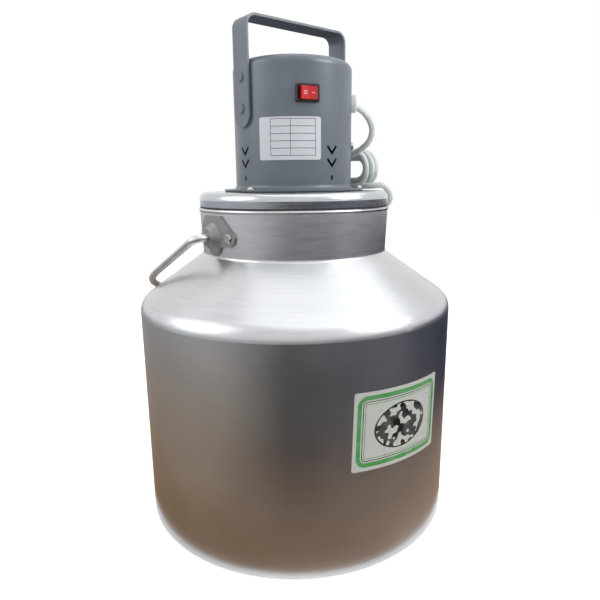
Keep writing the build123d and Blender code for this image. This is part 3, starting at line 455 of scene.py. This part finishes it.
# Switch marks: pad-printed ring and bar on the two faces of the rocker
marks = dict(
    azimuth=-25.3, pivot=(-0.023291, -0.049272, 0.3978), tilt=10.0, rise=0.0044, half=0.0073,
    ring=(0.00105, 0.0015), bar=(0.0012, 0.00025), film=0.00004,
)
markInk = surface("padPrintInk", dict(
    light="#F1D9D6", dark="#E2C2BE", roughness=(0.4, 0.5), cloudMm=3, grainMm=0.4, reliefMm=0.001,
))


def printMark(name, side, outline, hole=None):
    azimuth, tilt = radians(marks["azimuth"]), radians(marks["tilt"])
    along, out = Vector((cos(azimuth), sin(azimuth), 0)), Vector((sin(azimuth), -cos(azimuth), 0))
    lean = side * tilt - tilt  # the rocker rests tipped by its tilt, so one face lies level with the wall
    faceAlong = cos(lean) * along + sin(lean) * out
    faceOut = cos(lean) * out - sin(lean) * along
    tipAlong, tipOut = cos(tilt) * along - sin(tilt) * out, cos(tilt) * out + sin(tilt) * along
    reach = side * marks["half"] / 2
    centre = Vector(marks["pivot"]) + reach * tipAlong
    centre += (marks["rise"] + marks["half"] / 2 * tan(tilt)) * tipOut + marks["film"] * faceOut
    mesh = bmesh.new()
    loops = []
    for loop in [outline] + ([hole] if hole else []):
        loops.append([mesh.verts.new(centre + x * faceAlong + z * Vector((0, 0, 1))) for x, z in loop])
    if hole:
        for i in range(len(outline)):
            j = (i + 1) % len(outline)
            mesh.faces.new((loops[0][i], loops[0][j], loops[1][j], loops[1][i]))
    else:
        mesh.faces.new(loops[0])
    raised = bmesh.ops.extrude_face_region(mesh, geom=mesh.faces[:])
    lifted = [v for v in raised["geom"] if isinstance(v, bmesh.types.BMVert)]
    bmesh.ops.translate(mesh, verts=lifted, vec=marks["film"] * faceOut)
    bmesh.ops.recalc_face_normals(mesh, faces=mesh.faces[:])
    data = bpy.data.meshes.new(name)
    mesh.to_mesh(data)
    mesh.free()
    mark = bpy.data.objects.new(name, data)
    scene.collection.objects.link(mark)
    data.materials.append(markInk)
    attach(mark, "rocker")


def circle(radius, count=32):
    return [(radius * cos(2 * pi * i / count), radius * sin(2 * pi * i / count)) for i in range(count)]


printMark("offRing", -1, circle(marks["ring"][1]), circle(marks["ring"][0]))
halfBar, thinBar = marks["bar"]
printMark("onBar", 1, [(-halfBar, -thinBar), (halfBar, -thinBar), (halfBar, thinBar), (-halfBar, thinBar)])
print("switch marks printed")


# Studio: pale floor, white surround, three soft lamps aimed at one height on the axis
studio = dict(floor=9.0, fill=0.62, floorGlow=0.45, aimHeight=0.25)


def seenDirectly(tree):
    rays = add(tree, "LightPath")
    seen = rays.outputs["Is Camera Ray"]
    for name in ("Is Glossy Ray", "Is Transmission Ray"):
        seen = add(tree, "Math", {"operation": "MAXIMUM"}, {0: seen, 1: rays.outputs[name]}).outputs[0]
    return seen


world = bpy.data.worlds.new("whiteSurround")
world.use_nodes = True
scene.world = world
tree = world.node_tree
tree.nodes.clear()
lighting = add(tree, "Background", None, {"Color": linear("#FFFFFF"), "Strength": studio["fill"]})
shown = add(tree, "Background", None, {"Color": linear("#FFFFFF"), "Strength": 1.0})
either = add(tree, "MixShader", None, {
    0: seenDirectly(tree), 1: lighting.outputs[0], 2: shown.outputs[0],
})
add(tree, "OutputWorld", None, {"Surface": either.outputs[0]})

floorPaint, tree = begin("paleFloor")
matt = add(tree, "BsdfDiffuse", None, {"Color": linear("#F4F4F4")})
glow = add(tree, "Math", {"operation": "MULTIPLY"}, {0: seenDirectly(tree), 1: studio["floorGlow"]})
lit = add(tree, "Emission", None, {"Color": linear("#FFFFFF"), "Strength": glow.outputs[0]})
summed = add(tree, "AddShader", None, {0: matt.outputs[0], 1: lit.outputs[0]})
add(tree, "OutputMaterial", None, {"Surface": summed.outputs[0]})


def sheet(name, outer, inner, height, material, filled=False):
    sides = 96
    mesh = bmesh.new()
    rings = []
    for radius in (inner, outer):
        rings.append([mesh.verts.new((radius * x, radius * y, height)) for x, y in circle(1.0, sides)])
    for i in range(sides):
        j = (i + 1) % sides
        mesh.faces.new((rings[0][i], rings[1][i], rings[1][j], rings[0][j]))
    if filled:
        mesh.faces.new(rings[0])
    data = bpy.data.meshes.new(name)
    mesh.to_mesh(data)
    mesh.free()
    stageSheet = bpy.data.objects.new(name, data)
    scene.collection.objects.link(stageSheet)
    data.materials.append(material)
    return stageSheet


sheet("floor", studio["floor"], 0.005, 0.0, floorPaint, filled=True)

# Painted reflection: a glowing card round the can that only reflections see, as bright metal needs
# something darker to show; its brown and dark blue tones are painted into the metal's reflections
reflectionCard = dict(
    near=0.16, far=5.0, height=0.0004,
    paintedReflectionTones=(  # painted reflection tones, from left to right as the camera stands: where each takes over, and its tones outwards
        (-1.0, (
            (0.0, "#8F6F4E"), (0.02, "#9E8468"), (0.05, "#A28F7E"), (0.13, "#A09D9B"), (0.4, "#B2B8C0"),
        )),
        (-0.1, (
            (0.0, "#A08062"), (0.018, "#826650"), (0.045, "#242122"), (0.11, "#040A22"), (0.4, "#101628"),
        )),
        (0.7, (
            (0.0, "#B0927A"), (0.03, "#887464"), (0.055, "#282A34"), (0.11, "#1A2342"), (0.4, "#1E263A"),
        )),
    ),
    reach=0.6,  # how far to the left a tone starts to blend in
)
paintedReflectionPaint, tree = begin("paintedReflectionCard")
split = add(tree, "SeparateXYZ", None, {0: add(tree, "TexCoord").outputs["Object"]})
flat = add(tree, "CombineXYZ", None, {"X": split.outputs["X"], "Y": split.outputs["Y"]}).outputs[0]
reach = add(tree, "VectorMath", {"operation": "LENGTH"}, {0: flat}).outputs["Value"]
outward = add(tree, "MapRange", None, {
    0: reach, 1: reflectionCard["near"], 2: reflectionCard["far"], 3: 0.0, 4: 1.0,
}).outputs[0]
facing = add(tree, "VectorMath", {"operation": "NORMALIZE"}, {0: flat}).outputs[0]
right = (cos(radians(view["yaw"])), -sin(radians(view["yaw"])), 0)
rightward = add(tree, "VectorMath", {"operation": "DOT_PRODUCT"}, {
    0: facing, 1: right,
}).outputs["Value"]
tone = None
for middle, stops in reflectionCard["paintedReflectionTones"]:
    ramp = add(tree, "ValToRGB", None, {0: outward})
    elements = ramp.color_ramp.elements
    while len(elements) < len(stops):
        elements.new(0.5)
    for element, (position, hexColour) in zip(elements, stops):
        element.position, element.color = position, linear(hexColour)
    over = add(tree, "MapRange", None, {
        0: rightward, 1: middle - reflectionCard["reach"], 2: middle, 3: 0.0, 4: 1.0,
    })
    tone = ramp.outputs[0] if tone is None else add(tree, "Mix", {"data_type": "RGBA"}, {
        0: over.outputs[0], 6: tone, 7: ramp.outputs[0],
    }).outputs[2]
# The card glows with these painted reflection tones, though it is no lamp
paintedReflectionGlow = add(tree, "Emission", None, {"Color": tone})
add(tree, "OutputMaterial", None, {"Surface": paintedReflectionGlow.outputs[0]})
paintedReflectionCard = sheet("paintedReflectionCard", reflectionCard["far"], reflectionCard["near"], reflectionCard["height"], paintedReflectionPaint)
paintedReflectionCard.visible_camera = paintedReflectionCard.visible_diffuse = paintedReflectionCard.visible_shadow = False
paintedReflectionCard.visible_transmission = False

lamps = dict(  # right, forward and height from the can's axis in metres, size, watts
    leftSoftbox=((-1.4, -0.4, 1.1), 1.3, 8),
    rightSoftbox=((1.3, -0.5, 1.2), 0.9, 13),
    overhead=((0.4, 0.2, 1.9), 2.4, 11),
)
aim = Vector((0, 0, studio["aimHeight"]))
forward = Vector((sin(radians(view["yaw"])), cos(radians(view["yaw"])), 0))
for name, ((across, ahead, height), size, watts) in lamps.items():
    lamp = bpy.data.lights.new(name, "AREA")
    lamp.shape, lamp.size, lamp.energy = "DISK", size, watts
    holder = bpy.data.objects.new(name, lamp)
    scene.collection.objects.link(holder)
    holder.location = across * Vector(right) + ahead * forward + Vector((0, 0, height))
    holder.rotation_euler = (aim - holder.location).to_track_quat("-Z", "Y").to_euler()
print("studio lit")
